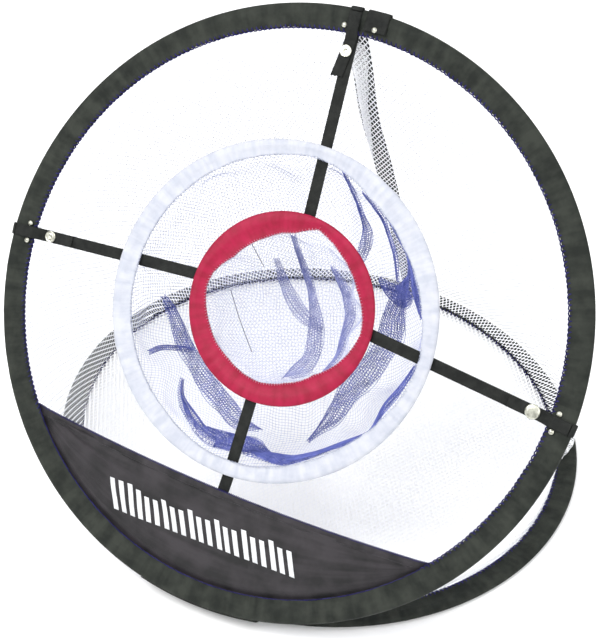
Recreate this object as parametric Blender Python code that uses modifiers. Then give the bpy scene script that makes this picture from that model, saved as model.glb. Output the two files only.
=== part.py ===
"""Golf chipping net: two spring-wire hoops that open like a clamshell, joined at the front.

The base hoop lies on the ground. The front hoop leans back and carries two target rings, hung on
four webbing straps, with a net bag behind each ring. Net closes the sides, back and floor, and a
webbing stay stops the front hoop as it opens. Metres, +Z up, the opening faces -Y.
"""

import math

import bpy
from mathutils import Matrix, Vector

# Hoops
HOOP_RADIUS = 0.254
HOOP_STEPS = 56
HOOP_WIRE_POINTS = 72
SLEEVE_WIDTH = 0.0197
SLEEVE_THICK = 0.0056
SLEEVE_SKIN = 0.0006
SEAM_SLIT = 0.0004
HOOP_WIRE_RADIUS = 0.0011
WIRE_INSET = 0.0048
FERRULE_LENGTH = 0.012
RING_FERRULE_LENGTH = 0.006
FERRULE_CLEARANCE = 0.00038
FERRULE_WALL = 0.0003
GAP = 0.0004

# Where the two halves stand
BASE_CENTRE = Vector((0, 0.0076, SLEEVE_THICK / 2))
PIVOT = Vector((0, -0.2634, 0.0020))
FRONT_RISE = math.radians(55.17)
HINGE_BELOW = 0.0128
HINGE_BEHIND = 0.0076
FRONT_CENTRE = Vector((0, HOOP_RADIUS + HINGE_BELOW, HINGE_BEHIND))

# Target rings, in the front hoop's plane, from its centre
RING_STEPS = 32
RING_THICK = 0.0044
RING_WIRE_RADIUS = 0.0007
MIDDLE_CENTRE = Vector((-0.008, 0, 0))
MIDDLE_RADIUS = 0.1415
MIDDLE_WIDTH = 0.0145
INNER_CENTRE = Vector((0, 0.0045, 0))
INNER_RADIUS = 0.0802
INNER_WIDTH = 0.0170

# Straps
STRAP_WIDTH = 0.0100
STRAP_THICK = 0.0010
STRAP_BACK = 0.0037
WRAP_INSET = 0.0026
WRAP_RADIUS = 0.0039
WRAP_LEAD = 0.002
SNAP_INSET = 0.0346
TAIL_LENGTH = 0.0560
TAIL_STEP = 0.0180
TAIL_LOW = 0.0023
SNAP_RADIUS = {"left": 0.0050, "right": 0.0062, "top": 0.0050}
SNAP_THICK = 0.0014
RIVET_RADIUS = 0.0019
# How far a rivet sinks into the soft sleeve, and how far it clears the firmer webbing
RIVET_SUNK = 0.0001
RIVET_INSET = 0.0150
# How far each rivet sits to the left of its strap; the top one on the right holds the stay's cuff
RIVET_ACROSS = {"left": (-0.0075, 0.0075), "right": (-0.0075, 0.0075), "top": (-0.0185, 0.0075)}
STUD_RADIUS = 0.0045
STUD_THICK = 0.0010
# Each strap from the inner ring to the hoop, in the front hoop's plane
STRAP_ENDS = {
    "left": (Vector((-0.0740, 0.0112)), Vector((-0.2540, 0.0010))),
    "right": (Vector((0.0740, 0.0069)), Vector((0.2535, -0.0160))),
    "top": (Vector((0.0013, 0.0775)), Vector((-0.0070, 0.2539))),
}
STRAP_BOTTOM_ENDS = (Vector((-0.0031, -0.0690)), Vector((-0.0050, -0.2120)))

# Bottom panel
PANEL_RADIUS = 0.2333
PANEL_LEFT = math.radians(-143.4)
PANEL_RIGHT = math.radians(-40.8)
PANEL_SAG = 0.009
PANEL_THICK = 0.0012
HEM_WIDTH = 0.0070
HEM_THICK = 0.0022
# How far the panel and its hem stop short of the ends of its top edge, as shares of its length
PANEL_INSET = 0.036
HEM_INSET = 0.026

# Nets
NET_STEPS = 48
NET_THICK = 0.0008
NET_EDGE_RADIUS = 0.2365
NET_EDGE_BEHIND = 0.0056
NET_BASE_RADIUS = 0.2330
NET_BASE_HEIGHT = 0.0022
NET_ROWS = 3
NET_BULGE = 0.006
FLOOR_NET_RADIUS = 0.2334
FLOOR_NET_HEIGHT = 0.0004
POCKET_STEPS = 32
POCKET_BEHIND = 0.0054

# Stay and hinge
STAY_WIDTH = 0.019
STAY_THICK = 0.0012
STAY_SHIFT = 0.005
STAY_HEAD_SHIFT = -0.008
CUFF_SPOT = Vector((0.004, 0.25397))
CUFF_SHIFT = 0.0085
CUFF_REACH = 0.016
HINGE_HALF_ANGLE = math.radians(12)

BLACK = (0.055, 0.058, 0.052)
WHITE = (0.86, 0.87, 0.90)

parts = None
front = None


def reset():
    """Empties the scene and makes the collection and the front half's pivot."""
    global parts, front
    for obj in list(bpy.data.objects):
        bpy.data.objects.remove(obj)
    parts = bpy.data.collections.new("golf_chipping_net")
    bpy.context.scene.collection.children.link(parts)
    front = bpy.data.objects.new("front_pivot", None)
    front.location = PIVOT
    front.rotation_euler = (FRONT_RISE, 0, 0)
    parts.objects.link(front)


def material(name, colour, roughness, metallic=0.0):
    found = bpy.data.materials.get(name)
    if found:
        return found
    made = bpy.data.materials.new(name)
    made.use_nodes = True
    shader = made.node_tree.nodes["Principled BSDF"]
    shader.inputs["Base Color"].default_value = (*colour, 1)
    shader.inputs["Roughness"].default_value = roughness
    shader.inputs["Metallic"].default_value = metallic
    made.diffuse_color = (*colour, 1)
    return made


def sleeve_black():
    return material("sleeve_fabric", BLACK, 0.75)


def strap_black():
    return material("strap_webbing", (0.07, 0.072, 0.066), 0.8)


def net_white():
    return material("net_mesh", WHITE, 0.7)


def wire_steel():
    return material("spring_steel", (0.45, 0.45, 0.47), 0.35, 1.0)


def ferrule_brass():
    return material("ferrule_metal", (0.6, 0.58, 0.52), 0.4, 1.0)


def snap_metal():
    return material("snap_metal", (0.78, 0.77, 0.70), 0.3, 1.0)


def place(obj, finish, parent=None, local=None):
    """Links an object, gives it its material and puts it under its parent."""
    obj.data.materials.append(finish)
    parts.objects.link(obj)
    obj.parent = parent
    if local is not None:
        obj.matrix_local = local
    return obj


def in_front(point):
    """The front pivot's coordinates of a point given from the front hoop's centre."""
    return FRONT_CENTRE + Vector(point)


def turned(name, profile, steps, finish, closed, parent=None, local=None):
    """A profile of (radius, height) points turned about the object's Z axis."""
    mesh = bpy.data.meshes.new(name)
    edges = [(i, i + 1) for i in range(len(profile) - 1)]
    if closed:
        edges.append((len(profile) - 1, 0))
    mesh.from_pydata([(r, 0, z) for r, z in profile], edges, [])
    obj = bpy.data.objects.new(name, mesh)
    place(obj, finish, parent, local)
    screw = obj.modifiers.new("turn", "SCREW")
    screw.axis = "Z"
    screw.angle = math.tau
    screw.steps = steps
    screw.render_steps = steps
    screw.use_merge_vertices = not closed
    screw.merge_threshold = 0.00001
    screw.use_smooth_shade = True
    return obj


def sleeve_profile(radius, width, thick):
    """The section of a strip folded over a wire: two layers that meet at the inner seam.

    Each station is a share of the width from the outer fold and a share of the half thickness.
    The stretch between the third and fourth is flat, which is what the base hoop stands on.
    """
    half = thick / 2
    seam = SLEEVE_SKIN + SEAM_SLIT / 2
    stations = ((0.07, 0.74), (0.20, 1.0), (0.46, 1.0), (1.0, seam / half))
    outside = [(radius - width * s, half * share) for s, share in stations]
    inside = [(r, z - SLEEVE_SKIN) for r, z in outside]
    inside[0] = (inside[0][0] - SLEEVE_SKIN * 0.7, outside[0][1] - SLEEVE_SKIN * 0.7)
    upper = outside[::-1] + [(radius, 0)]
    lower = [(r, -z) for r, z in outside]
    back = [(r, -z) for r, z in inside[::-1]] + [(radius - SLEEVE_SKIN, 0)] + inside
    return upper + lower + back


def sleeve(name, radius, width, thick, steps, finish, parent=None, local=None):
    profile = sleeve_profile(radius, width, thick)
    return turned(name, profile, steps, finish, True, parent, local)


def wire(name, radius, depth, joint_angle, parent=None, local=None, points=HOOP_WIRE_POINTS):
    """A wire ring whose two ends nearly meet at joint_angle, inside a ferrule."""
    curve = bpy.data.curves.new(name, "CURVE")
    curve.dimensions = "3D"
    curve.bevel_depth = depth
    curve.bevel_resolution = 1
    curve.use_fill_caps = True
    spline = curve.splines.new("POLY")
    spline.points.add(points - 1)
    half_gap = GAP / radius
    for i, point in enumerate(spline.points):
        angle = joint_angle + half_gap + (math.tau - 2 * half_gap) * i / (points - 1)
        point.co = (radius * math.cos(angle), radius * math.sin(angle), 0, 1)
    return place(bpy.data.objects.new(name, curve), wire_steel(), parent, local)


def ferrule(name, radius, depth, length, joint_angle, parent=None, centre=Vector((0, 0, 0))):
    """A short tube, crimped on the wire where its ends meet."""
    bore = depth + FERRULE_CLEARANCE
    half = length / 2
    outer = bore + FERRULE_WALL
    profile = [(outer, half), (outer, -half), (bore, -half), (bore, half)]
    spot = Vector((radius * math.cos(joint_angle), radius * math.sin(joint_angle), 0))
    spot = Matrix.Translation(centre + spot)
    along = Matrix.Rotation(joint_angle, 4, "Z") @ Matrix.Rotation(math.pi / 2, 4, "X")
    return turned(name, profile, 12, ferrule_brass(), True, parent, spot @ along)


def ribbon_outline(path, thick):
    """The outline of a strip of the given thickness that follows a path of 2D points."""
    left, right = [], []
    for i, point in enumerate(path):
        before = (point - path[max(i - 1, 0)]).normalized() if i else None
        after = (path[i + 1] - point).normalized() if i < len(path) - 1 else None
        along = (before or after) + (after or before)
        along.normalize()
        side = Vector((-along.y, along.x))
        cosine = along.dot(before or after)
        left.append(point + side * thick / 2 / cosine)
        right.append(point - side * thick / 2 / cosine)
    return left + right[::-1]


def plate(name, outline, thick, finish, parent=None, local=None):
    """A flat closed outline, given thickness along the object's Z axis."""
    curve = bpy.data.curves.new(name, "CURVE")
    curve.dimensions = "2D"
    curve.fill_mode = "BOTH"
    curve.extrude = thick / 2
    spline = curve.splines.new("POLY")
    spline.points.add(len(outline) - 1)
    spline.use_cyclic_u = True
    for point, (x, y) in zip(spline.points, outline):
        point.co = (x, y, 0, 1)
    return place(bpy.data.objects.new(name, curve), finish, parent, local)


def ribbon(name, path, width, thick, finish, parent, local):
    """A strip of webbing: its path lies in the object's XY plane, its width along Z."""
    return plate(name, ribbon_outline(path, thick), width, finish, parent, local)


def strip_frame(direction, spot):
    """Turns X to a direction in the hoop's plane and Y to the hoop's front, at a spot there."""
    along = Vector((direction.x, direction.y, 0)).normalized()
    normal = Vector((0, 0, 1))
    across = along.cross(normal)
    turn = Matrix((along, normal, across)).transposed().to_4x4()
    return Matrix.Translation(in_front((spot.x, spot.y, 0))) @ turn


def loft(name, rings, finish, parent=None, capped=False):
    """A skin through rings of points, all with the same count, given the net's thickness."""
    mesh = bpy.data.meshes.new(name)
    count = len(rings[0])
    points = [p for ring in rings for p in ring]
    faces = []
    for row in range(len(rings) - 1):
        for i in range(count):
            a, b = row * count + i, row * count + (i + 1) % count
            faces.append((a, b, b + count, a + count))
    if capped:
        last = (len(rings) - 1) * count
        centre = sum((Vector(p) for p in rings[-1]), Vector()) / count
        points.append(centre)
        faces += [(last + i, last + (i + 1) % count, len(points) - 1) for i in range(count)]
    mesh.from_pydata(points, [], faces)
    mesh.shade_smooth()
    obj = place(bpy.data.objects.new(name, mesh), finish, parent)
    skin = obj.modifiers.new("thickness", "SOLIDIFY")
    skin.thickness = NET_THICK
    skin.offset = 0
    return obj


def circle(radius, count):
    for i in range(count):
        angle = math.tau * i / count
        yield radius * math.cos(angle), radius * math.sin(angle)


def base_half():
    here = Matrix.Translation(BASE_CENTRE)
    wire_circle = HOOP_RADIUS - WIRE_INSET
    joint = math.radians(150)
    sleeve("base_hoop_sleeve", HOOP_RADIUS, SLEEVE_WIDTH, SLEEVE_THICK, HOOP_STEPS,
           sleeve_black(), None, here)
    wire("base_hoop_wire", wire_circle, HOOP_WIRE_RADIUS, joint, None, here)
    ferrule("base_wire_ferrule", wire_circle, HOOP_WIRE_RADIUS, FERRULE_LENGTH, joint, None,
            BASE_CENTRE)
    floor = list(circle(FLOOR_NET_RADIUS, NET_STEPS))
    middle = Vector((BASE_CENTRE.x, BASE_CENTRE.y, FLOOR_NET_HEIGHT + NET_THICK / 2))
    plate("floor_net", floor, NET_THICK, net_white(), None, Matrix.Translation(middle))


def front_half():
    here = Matrix.Translation(FRONT_CENTRE)
    wire_circle = HOOP_RADIUS - WIRE_INSET
    joint = math.radians(30)
    sleeve("front_hoop_sleeve", HOOP_RADIUS, SLEEVE_WIDTH, SLEEVE_THICK, HOOP_STEPS,
           sleeve_black(), front, here)
    wire("front_hoop_wire", wire_circle, HOOP_WIRE_RADIUS, joint, front, here)
    ferrule("front_wire_ferrule", wire_circle, HOOP_WIRE_RADIUS, FERRULE_LENGTH, joint, front,
            FRONT_CENTRE)


def target_ring(name, centre, radius, width, finish, joint):
    spot = in_front(centre)
    here = Matrix.Translation(spot)
    wire_circle = radius - width * 0.3
    sleeve(name + "_sleeve", radius, width, RING_THICK, RING_STEPS, finish, front, here)
    wire(name + "_wire", wire_circle, RING_WIRE_RADIUS, joint, front, here, RING_STEPS)
    ferrule(name + "_ferrule", wire_circle, RING_WIRE_RADIUS, RING_FERRULE_LENGTH, joint, front,
            spot)


def panel_top(share):
    """A point on the panel's slack top edge, from its left end at 0 to its right end at 1."""
    ends = [Vector((math.cos(a), math.sin(a))) * PANEL_RADIUS for a in (PANEL_LEFT, PANEL_RIGHT)]
    point = ends[0].lerp(ends[1], share)
    point.y -= PANEL_SAG * 4 * share * (1 - share)
    return point


def bottom_panel():
    """The fabric segment at the foot of the front hoop, and the hem along its top edge."""
    arc_steps = 20
    arc = []
    for i in range(arc_steps + 1):
        angle = PANEL_LEFT + (PANEL_RIGHT - PANEL_LEFT) * i / arc_steps
        arc.append(Vector((math.cos(angle), math.sin(angle))) * PANEL_RADIUS)
    drop = Vector((0, HEM_WIDTH + GAP))
    top = [panel_top(PANEL_INSET + (1 - 2 * PANEL_INSET) * i / 12) - drop for i in range(13)]
    outline = [p for p in arc if p.y < panel_top(0.5).y + 0.001] + top[::-1]
    here = Matrix.Translation(FRONT_CENTRE)
    plate("bottom_panel", outline, PANEL_THICK, sleeve_black(), front, here)
    lower = Vector((0, HEM_WIDTH / 2))
    trimmed = [panel_top(HEM_INSET + (1 - 2 * HEM_INSET) * i / 12) - lower for i in range(13)]
    outline = ribbon_outline(trimmed, HEM_WIDTH)
    plate("panel_hem", outline, HEM_THICK, sleeve_black(), front, here)


def wrap_arc(start, end, steps=8):
    """Points of the strap's bend round the hoop's outer edge."""
    for i in range(steps + 1):
        angle = start + (end - start) * i / steps
        x = WRAP_RADIUS * math.cos(angle) - WRAP_INSET
        yield Vector((x, WRAP_RADIUS * math.sin(angle)))


def snap(name, radius, bottom, thick, hollow, parent, frame):
    """One half of a snap fastener: a low round cap, with a recess on a socket half."""
    rim = radius * 0.82
    profile = [(0, bottom + thick), (rim, bottom + thick), (radius, bottom + thick * 0.5),
               (radius, bottom), (0, bottom)]
    if hollow:
        well = radius * 0.36
        profile[0:1] = [(0, bottom + thick * 0.45), (well, bottom + thick * 0.45),
                        (well, bottom + thick)]
    return turned(name, profile, 16, snap_metal(), False, parent, frame)


def snapped_strap(side):
    """A strap that goes round the hoop and snaps back on itself, with its opening tail."""
    inner, outer = STRAP_ENDS[side]
    frame = strip_frame(outer - inner, outer)
    length = (outer - inner).length
    arc = list(wrap_arc(-math.pi * 0.40, math.pi * 0.48))
    path = [Vector((-length, -STRAP_BACK)), Vector((-length / 2, -STRAP_BACK)),
            Vector((arc[0].x - WRAP_LEAD, -STRAP_BACK)), *arc]
    ribbon("strap_" + side, path, STRAP_WIDTH, STRAP_THICK, strap_black(), front, frame)

    hinge = Vector((-WRAP_INSET - GAP, WRAP_RADIUS + STRAP_THICK / 2, 0))
    pivot = bpy.data.objects.new("tail_pivot_" + side, None)
    parts.objects.link(pivot)
    pivot.parent = front
    pivot.matrix_local = frame @ Matrix.Translation(hinge)
    back = Matrix.Translation(-hinge)
    tail = [Vector((-WRAP_INSET - GAP, WRAP_RADIUS)), Vector((-TAIL_STEP, WRAP_RADIUS)),
            Vector((-TAIL_STEP - 0.008, -TAIL_LOW)), Vector((-TAIL_LENGTH, -TAIL_LOW))]
    ribbon("strap_tail_" + side, tail, STRAP_WIDTH, STRAP_THICK, strap_black(), pivot, back)

    upright = Matrix.Rotation(-math.pi / 2, 4, "X")
    spot = Matrix.Translation((-SNAP_INSET, 0, 0)) @ upright
    cap_bottom = -TAIL_LOW + STRAP_THICK / 2 + GAP
    snap("snap_cap_" + side, SNAP_RADIUS[side], cap_bottom, SNAP_THICK, side != "right",
         pivot, back @ spot)
    stud_top = -STRAP_BACK - STRAP_THICK / 2 - GAP
    snap("snap_stud_" + side, STUD_RADIUS, -stud_top, STUD_THICK, False, front,
         frame @ spot @ Matrix.Rotation(math.pi, 4, "X"))
    rivets(side, frame @ upright)


def rivets(side, frame):
    """The two rivets through the sleeve, one each side of a strap."""
    for number, across in enumerate(RIVET_ACROSS[side], 1):
        low = SLEEVE_THICK / 2 - RIVET_SUNK
        if side == "top" and number == 1:
            low = STRAP_BACK + STRAP_THICK / 2 + RIVET_SUNK
        profile = [(0, low + 0.0011), (RIVET_RADIUS * 0.7, low + 0.0008), (RIVET_RADIUS, low),
                   (0, low)]
        spot = frame @ Matrix.Translation((-RIVET_INSET, across, 0))
        turned(f"rivet_{side}_{number}", profile, 10, snap_metal(), False, front, spot)


def bottom_strap():
    """The strap from the inner ring down to the back of the bottom panel."""
    inner, outer = STRAP_BOTTOM_ENDS
    length = (outer - inner).length
    behind_panel = PANEL_THICK / 2 + STRAP_THICK / 2 + GAP
    hem = HEM_THICK / 2 + STRAP_THICK / 2 + GAP
    path = [Vector((-length, -STRAP_BACK)), Vector((-0.066, -STRAP_BACK)),
            Vector((-0.058, -hem)), Vector((-0.048, -hem)),
            Vector((-0.045, -behind_panel)), Vector((0, -behind_panel))]
    frame = strip_frame(outer - inner, outer)
    ribbon("strap_bottom", path, STRAP_WIDTH, STRAP_THICK, strap_black(), front, frame)


def pocket(name, centre, mouth, depths, radii, sags):
    """A net bag behind a ring: circles that shrink, go back and hang lower."""
    down = Vector((0, -math.sin(FRONT_RISE), -math.cos(FRONT_RISE)))
    rings = []
    for depth, radius, sag in zip((0, *depths), (mouth, *radii), (0, *sags)):
        middle = in_front(centre) + Vector((0, 0, -POCKET_BEHIND - depth)) + down * sag
        rings.append([middle + Vector((x, y, 0)) for x, y in circle(radius, POCKET_STEPS)])
    loft(name, rings, net_white(), front, True)


def pockets():
    pocket("middle_pocket_net", MIDDLE_CENTRE, 0.1262, (0.030, 0.066, 0.084),
           (0.122, 0.098, 0.055), (0.004, 0.016, 0.024))
    pocket("inner_pocket_net", INNER_CENTRE, 0.0625, (0.022, 0.044, 0.054),
           (0.060, 0.048, 0.026), (0.002, 0.008, 0.012))


def catch_net():
    """The net wall between the two hoops, all the way round, slightly bulged outward."""
    to_world = Matrix.Translation(PIVOT) @ Matrix.Rotation(FRONT_RISE, 4, "X")
    upper = [to_world @ in_front((x, y, -NET_EDGE_BEHIND))
             for x, y in circle(NET_EDGE_RADIUS, NET_STEPS)]
    height = Vector((BASE_CENTRE.x, BASE_CENTRE.y, BASE_CENTRE.z + NET_BASE_HEIGHT))
    lower = [height + Vector((x, y, 0)) for x, y in circle(NET_BASE_RADIUS, NET_STEPS)]
    rings = []
    for row in range(NET_ROWS + 1):
        share = row / NET_ROWS
        ring = []
        for i, (top, bottom) in enumerate(zip(upper, lower)):
            angle = math.tau * i / NET_STEPS
            outward = Vector((math.cos(angle), max(math.sin(angle), 0), 0))
            bulge = NET_BULGE * 4 * share * (1 - share) * (1 + math.sin(angle)) / 2
            ring.append(top.lerp(bottom, share) + outward * bulge)
        rings.append(ring)
    loft("catch_net", rings, net_white())


def loop_path(inset):
    """A short webbing loop round a sleeve, seen along the sleeve, open towards the seam."""
    path = [Vector((-inset, -STRAP_BACK))]
    path += list(wrap_arc(-math.pi * 0.40, math.pi * 0.40))
    path.append(Vector((-inset, STRAP_BACK)))
    return path


def stay():
    """The webbing stay from the top of the front hoop to the back of the base hoop."""
    frame = strip_frame(CUFF_SPOT, CUFF_SPOT)
    shift = Matrix.Translation(frame.to_3x3() @ Vector((0, 0, CUFF_SHIFT)))
    ribbon("stay_loop_top", loop_path(CUFF_REACH), STAY_WIDTH, STRAP_THICK, strap_black(), front,
           shift @ frame)
    out = Vector((0, 1, 0))
    normal = Vector((0, 0, 1))
    turn = Matrix((out, normal, out.cross(normal))).transposed().to_4x4()
    rear = BASE_CENTRE + Vector((STAY_SHIFT, HOOP_RADIUS - 0.0001, 0))
    cuff = [Vector((-CUFF_REACH, STRAP_BACK)), *list(wrap_arc(0, math.pi * 0.40))[::-1]]
    ribbon("stay_loop_base", cuff, STAY_WIDTH, STRAP_THICK, strap_black(), None,
           Matrix.Translation(rear) @ turn)

    to_world = Matrix.Translation(PIVOT) @ Matrix.Rotation(FRONT_RISE, 4, "X")
    clear = STRAP_BACK + STRAP_THICK + STAY_THICK + GAP
    head = to_world @ in_front((STAY_HEAD_SHIFT, HOOP_RADIUS - 0.012, -clear))
    foot = BASE_CENTRE + Vector((STAY_SHIFT, HOOP_RADIUS - 0.008, clear))
    along = (head - foot).normalized()
    across = Vector((1, 0, 0))
    face = across.cross(along).normalized()
    across = along.cross(face)
    frame = Matrix((along, face, across)).transposed().to_4x4()
    band = [Vector((0, 0)), Vector(((head - foot).length, 0))]
    ribbon("rear_stay", band, STAY_WIDTH, STAY_THICK, strap_black(), None,
           Matrix.Translation(foot) @ frame)


def hinge_tape():
    """The fabric that joins the two sleeves at the front, a strip between their outer edges."""
    to_world = Matrix.Translation(PIVOT) @ Matrix.Rotation(FRONT_RISE, 4, "X")
    radius = HOOP_RADIUS + NET_THICK / 2 + GAP
    steps = 8
    rows = []
    for i in range(steps + 1):
        angle = -math.pi / 2 + HINGE_HALF_ANGLE * (2 * i / steps - 1)
        x, y = radius * math.cos(angle), radius * math.sin(angle)
        low = BASE_CENTRE + Vector((x, y, 0))
        high = to_world @ in_front((x, y, 0))
        middle = low.lerp(high, 0.5) + Vector((0, -0.001, -0.001))
        rows.append((low, middle, high))
    mesh = bpy.data.meshes.new("hinge_tape")
    faces = []
    for i in range(steps):
        for j in range(2):
            a = i * 3 + j
            faces.append((a, a + 3, a + 4, a + 1))
    mesh.from_pydata([p for row in rows for p in row], [], faces)
    obj = place(bpy.data.objects.new("hinge_tape", mesh), sleeve_black())
    skin = obj.modifiers.new("thickness", "SOLIDIFY")
    skin.thickness = NET_THICK
    skin.offset = 0


def main():
    reset()
    base_half()
    front_half()
    target_ring("middle_ring", MIDDLE_CENTRE, MIDDLE_RADIUS, MIDDLE_WIDTH,
                material("white_sleeve", (0.82, 0.84, 0.88), 0.7), math.radians(60))
    target_ring("inner_ring", INNER_CENTRE, INNER_RADIUS, INNER_WIDTH,
                material("red_sleeve", (0.48, 0.040, 0.075), 0.7), math.radians(120))
    bottom_panel()
    for side in STRAP_ENDS:
        snapped_strap(side)
    bottom_strap()
    pockets()
    catch_net()
    stay()
    hinge_tape()


main()
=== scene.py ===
"""Looks of the golf chipping net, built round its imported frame. Metres, +Z up, opening to -Y.

Every soft piece is made here as its own mesh: sewn sleeves with wrinkles and overlocked seams,
woven webbing, a sagging panel, and nets made of real strands.
"""

import math

import bpy
import numpy as np
from mathutils import Matrix, Vector, noise


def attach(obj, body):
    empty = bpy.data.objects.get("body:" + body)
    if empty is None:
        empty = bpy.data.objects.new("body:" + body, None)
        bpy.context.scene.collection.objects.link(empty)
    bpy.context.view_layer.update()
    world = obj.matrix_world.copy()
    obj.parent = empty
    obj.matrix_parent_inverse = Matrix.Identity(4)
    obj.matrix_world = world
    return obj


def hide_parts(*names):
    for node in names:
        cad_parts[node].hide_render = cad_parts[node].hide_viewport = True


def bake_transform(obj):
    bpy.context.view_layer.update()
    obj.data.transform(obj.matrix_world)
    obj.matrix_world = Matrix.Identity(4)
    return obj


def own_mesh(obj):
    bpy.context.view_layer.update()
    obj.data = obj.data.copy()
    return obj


# Both hoops: their radius, and their sleeves' width and thickness
HOOP_RADIUS = 0.254
SLEEVE_WIDTH = 0.0197
SLEEVE_THICK = 0.0056
# Pieces that sit on one another are this far apart
CLEARANCE = 0.0001
BASE_CENTRE = np.array((0, 0.0076, SLEEVE_THICK / 2))

# The axis that the front folds about, the front's slope, and its centre up from the axis and out
PIVOT = np.array((0, -0.2634, 0.0020))
FRONT_RISE = math.radians(55.17)
FRONT_FROM_PIVOT = (HOOP_RADIUS + 0.0128, 0.0076)

X_AXIS = np.array((1.0, 0, 0))
Y_AXIS = np.array((0, 1.0, 0))
Z_AXIS = np.array((0, 0, 1.0))
UPHILL = np.array((0, math.cos(FRONT_RISE), math.sin(FRONT_RISE)))
FACING = np.array((0, -math.sin(FRONT_RISE), math.cos(FRONT_RISE)))
FRONT_CENTRE = PIVOT + UPHILL * FRONT_FROM_PIVOT[0] + FACING * FRONT_FROM_PIVOT[1]
# A plane is its origin, and its directions across, up and out
BASE = (BASE_CENTRE, X_AXIS, Y_AXIS, Z_AXIS)
FRONT = (FRONT_CENTRE, X_AXIS, UPHILL, FACING)

# The white and the red ring, in the front plane
MIDDLE_CENTRE = np.array((-0.008, 0.0))
MIDDLE_RADIUS = 0.1415
INNER_CENTRE = np.array((0.0, 0.0045))
INNER_RADIUS = 0.0802
RING_THICK = 0.0044
# Each sleeve's width in millimetres at angles in degrees, narrow where the straps pull it in
RED_WIDTHS = ((0, 9), (10, 10), (30, 13), (45, 13), (60, 12), (80, 8.2), (95, 17), (120, 20.5),
              (150, 21), (170, 14), (180, 13), (210, 17), (240, 19), (270, 17), (290, 19),
              (315, 19), (340, 13), (360, 9))
WHITE_WIDTHS = ((0, 10.5), (20, 15), (42, 18), (62, 17.5), (80, 12), (90, 10.5), (105, 13),
                (140, 15.5), (165, 16.5), (180, 17), (210, 17), (240, 16), (262, 12.5),
                (280, 12.5), (300, 15), (320, 15.5), (345, 11.5), (360, 10.5))

# Webbing straps, which run behind the front plane and wrap round the hoop
STRAP_WIDTH = 0.0100
STRAP_THICK = 0.0010
STRAP_BACK = 0.0037
WRAP_INSET = 0.0026
WRAP_RADIUS = 0.0039
TAIL_LENGTH = 0.0560
TAIL_STEP = 0.0180
TAIL_LOW = 0.0023
TOP_TAIL_SKEW = -0.16
SKEW_START = 0.35
FRAY_REACH = 0.004
RIBBON_STATIONS = 11
GAP = 0.0004
STRAP_ENDS = {
    "left": (np.array((-0.0740, 0.0112)), np.array((-0.2540, 0.0010))),
    "right": (np.array((0.0740, 0.0069)), np.array((0.2535, -0.0160))),
    "top": (np.array((0.0013, 0.0775)), np.array((-0.0070, 0.2539))),
}
STRAP_BOTTOM_ENDS = (np.array((-0.0031, -0.0690)), np.array((-0.0050, -0.2120)))
# The solid panel and its hem in front of the bottom strap, and how far behind the strap runs
PANEL_SOLID = 0.0012
HEM_SOLID = 0.0022
BEHIND_PANEL = 0.0016

# Snaps and rivets, each turned from a profile of shares of its radius and its height
SNAP_INSET = 0.0346
SNAP_RADIUS = {"left": 0.0050, "right": 0.0062, "top": 0.0050}
SNAP_HIGH = 0.0010
STUD_RADIUS, STUD_HIGH = 0.0045, 0.0011
RIVET_RADIUS, RIVET_HIGH = 0.0022, 0.0009
RIVET_INSET = 0.0150
RIVET_SUNK = 0.0002
# How far each rivet is from its strap's middle; the top pair's first one holds the stay's cuff
RIVET_ACROSS = {"left": (-0.0075, 0.0075), "right": (-0.0075, 0.0075), "top": (-0.0185, 0.0075)}
DOMED_CAP = ((0, 1.75), (0.35, 1.72), (0.62, 1.58), (0.82, 1.30), (0.93, 0.95), (0.99, 0.55),
             (1.0, 0.30), (0.97, 0.05), (0.90, 0.0), (0, 0.0))
RINGED_CAP = ((0, 0.55), (0.22, 0.58), (0.30, 0.75), (0.34, 1.25), (0.40, 1.42), (0.50, 1.38),
              (0.60, 1.18), (0.72, 1.12), (0.82, 1.30), (0.90, 1.34), (0.97, 1.10), (1.0, 0.60),
              (0.99, 0.15), (0.92, 0.0), (0, 0.0))
STUD = ((0, 0.9), (0.4, 0.9), (0.7, 0.8), (0.9, 0.55), (1.0, 0.25), (1.0, 0.0), (0, 0.0))
RIVET = ((0, 1.25), (0.3, 1.20), (0.55, 1.0), (0.62, 0.72), (0.80, 0.62), (0.95, 0.40),
         (1.0, 0.15), (0.96, -0.3), (0, -0.3))

# The panel: its edge's radius, the ends of its top line, and how far that line sags
PANEL_RADIUS = 0.2333
PANEL_LEFT = math.radians(-143.4)
PANEL_RIGHT = math.radians(-40.8)
PANEL_SAG = 0.009
PANEL_HALF_THICK = 0.00045
PANEL_UNDER_SLEEVE = 0.0035
# Past a radius the panel's edge goes in behind the sleeve
PANEL_TUCK = 0.0024
PANEL_TUCK_START = 0.2265
PANEL_TUCK_RANGE = 0.008
HEM_WIDTH = 0.0070
HEM_HALF_THICK = 0.0010
HEM_STITCHES = 128
HEM_TURNS = 230
STITCH_THICK = 0.00022

# The printed bars on the panel
STRIPE_COUNT = 21
STRIPE_START = -0.0985
STRIPE_PITCH = 0.0083
STRIPE_WIDE = 0.0046
STRIPE_HIGH = 0.0205
STRIPE_TALL = 0.0250
STRIPE_TALL_COUNT = 3
STRIPE_LEVEL = -0.2020
STRIPE_SLANT = 0.45
INK_ABOVE, INK_BELOW = 0.00016, 0.00012

# The stay and its two cuffs
STAY_WIDTH = 0.019
STAY_THICK = 0.0012
STAY_SHIFT = 0.005
STAY_HEAD_SHIFT = -0.008
STAY_HEAD_INSET = 0.012
STAY_FOOT_INSET = 0.008
STAY_BOW = 0.0045
STAY_BOW_PLACE = 0.72
STAY_BOW_RANGE = 0.14
STAY_SLACK = 0.0015
CUFF_SPOT = np.array((0.004, 0.25397))
CUFF_SHIFT = 0.0085
CUFF_REACH = 0.016

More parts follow.
